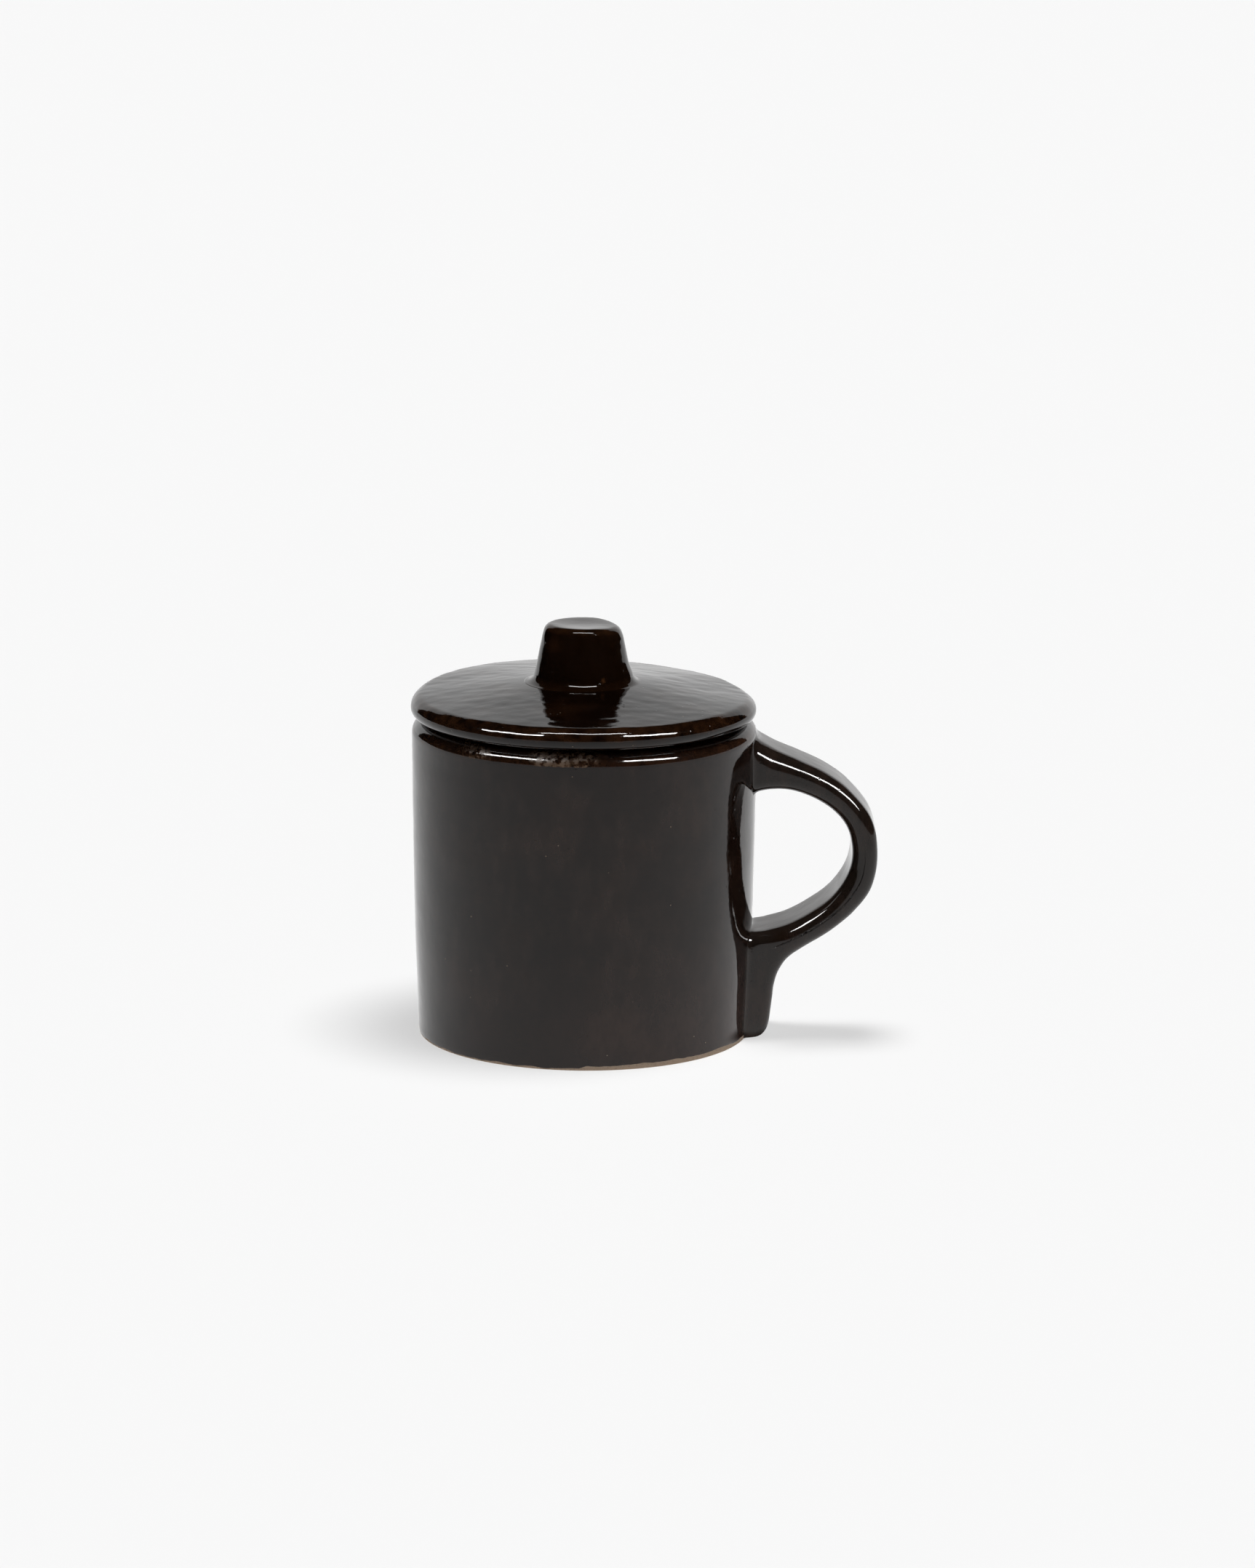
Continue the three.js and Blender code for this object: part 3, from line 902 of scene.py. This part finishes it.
def make_lights(floor, bowl, strap, lid_pieces):
    """Strips for the highlights, and two suns for the shadows on the floor.

    The right sun casts the bowl's shadow to the left, and the left sun casts the strap's to the right.
    """
    plate, ring, knob = lid_pieces
    left = strip_light("strip_left", toward(-31, 42, 1.5), toward(-77, 31, 1.7), 0.20, STRIP_GLOW)
    right = strip_light("strip_right", toward(30, 40, 1.5), toward(68, 25, 1.7), 0.24, STRIP_GLOW)
    arm = strip_light("strip_arm", toward(20, 45, 1.5), toward(29.5, 40.2, 1.5), 0.24, STRIP_GLOW)
    top = strip_light("strip_top", (-0.46, -0.46, 1.2), (0.46, -0.46, 1.2), 0.11, TOP_GLOW)
    glint = strip_light("glint_right", toward(34, 38, 1.5), toward(44, 35, 1.5), 0.16, GLINT_GLOW)
    shine_on(left, [bowl, strap, ring, plate])
    shine_on(right, [bowl, strap, ring, plate])
    shine_on(arm, [strap])
    shine_on(top, [plate, knob])
    shine_on(glint, [knob])
    sun_right = sun("sun_right", azimuth=85, elevation=79, spread=24, strength=2.2)
    shaded_by(sun_right, [bowl] + lid_pieces)
    sun_left = sun("sun_left", azimuth=-150, elevation=83, spread=20, strength=1.9)
    shine_on(sun_left, [floor])
    shaded_by(sun_left, [strap])


# ---- Camera ----
CAMERA_AWAY = 1.6
CAMERA_HEIGHT = 0.4208
CAMERA_SIDE = 0.0109
CAMERA_TILT = math.radians(12.62)
CAMERA_ROLL = math.radians(0.45)
CAMERA_LENS = 189.89
CAMERA_SENSOR = 36.0


def make_camera():
    data = bpy.data.cameras.new("camera")
    data.sensor_fit = "HORIZONTAL"
    data.sensor_width = CAMERA_SENSOR
    data.lens = CAMERA_LENS
    data.clip_end = 60
    camera = bpy.data.objects.new("camera", data)
    camera.location = (CAMERA_SIDE, -CAMERA_AWAY, CAMERA_HEIGHT)
    turn = Matrix.Rotation(math.pi / 2 - CAMERA_TILT, 3, "X") @ Matrix.Rotation(CAMERA_ROLL, 3, "Z")
    camera.rotation_euler = turn.to_euler()
    bpy.context.scene.collection.objects.link(camera)
    bpy.context.scene.camera = camera


def make_world():
    world = bpy.data.worlds.new("world")
    bpy.context.scene.world = world
    world.use_nodes = True
    background = world.node_tree.nodes["Background"]
    background.inputs["Color"].default_value = (WORLD_GREY, WORLD_GREY, WORLD_GREY, 1)
    scene = bpy.context.scene
    scene.view_settings.view_transform = "Standard"
    scene.view_settings.look = "None"


def dress(piece, body, nodes, material):
    piece.data.materials.append(material)
    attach(piece, body)
    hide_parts(*nodes)


make_camera()
make_world()
floor = make_floor()
make_dome()
make_floor_card()
make_backdrop()

bowl = turned("bowl", bowl_profile(), 288, bowl_shape)
dress(bowl, "pot", ["bowl_body"], glaze_material("bowl_glaze", russet=0.38, body=True))

strap = strap_piece()
strap_glaze = glaze_material("strap_glaze", base=STRAP_BROWN, tan=0.1, russet=0.5)
dress(strap, "pot", ["strap_handle"], strap_glaze)

plate = turned("lid_disc", plate_profile(), 288, plate_shape)
lid_glaze = glaze_material("lid_glaze", base=LID_BLACK, brown=0.78, tan=0.3, russet=0.08, depth=0.075)
dress(plate, "lid", ["lid_plate"], lid_glaze)

ring = turned("lid_ring", ring_profile(), 192, ring_shape, closed=True)
dress(ring, "lid", ["lid_locating_ring"], glaze_material("ring_glaze", tan=0.6))

# Brown spots on the knob: centre x, y, z, radius and strength.
KNOB_SPOTS = (
    (4.9, -10.9, KNOB_TOP - 12.2, 1.1, 0.9),
    (-7.2, -7.0, KNOB_TOP - 4.2, 3.2, 0.17),
)
knob = turned("knob", knob_profile(), 144, knob_shape)
knob_glaze = glaze_material("knob_glaze", base=KNOB_BROWN, brown=0.8, tan=0.3, russet=0.12, spots=KNOB_SPOTS)
dress(knob, "lid", ["lid_knob"], knob_glaze)

make_lights(floor, bowl, strap, [plate, ring, knob])
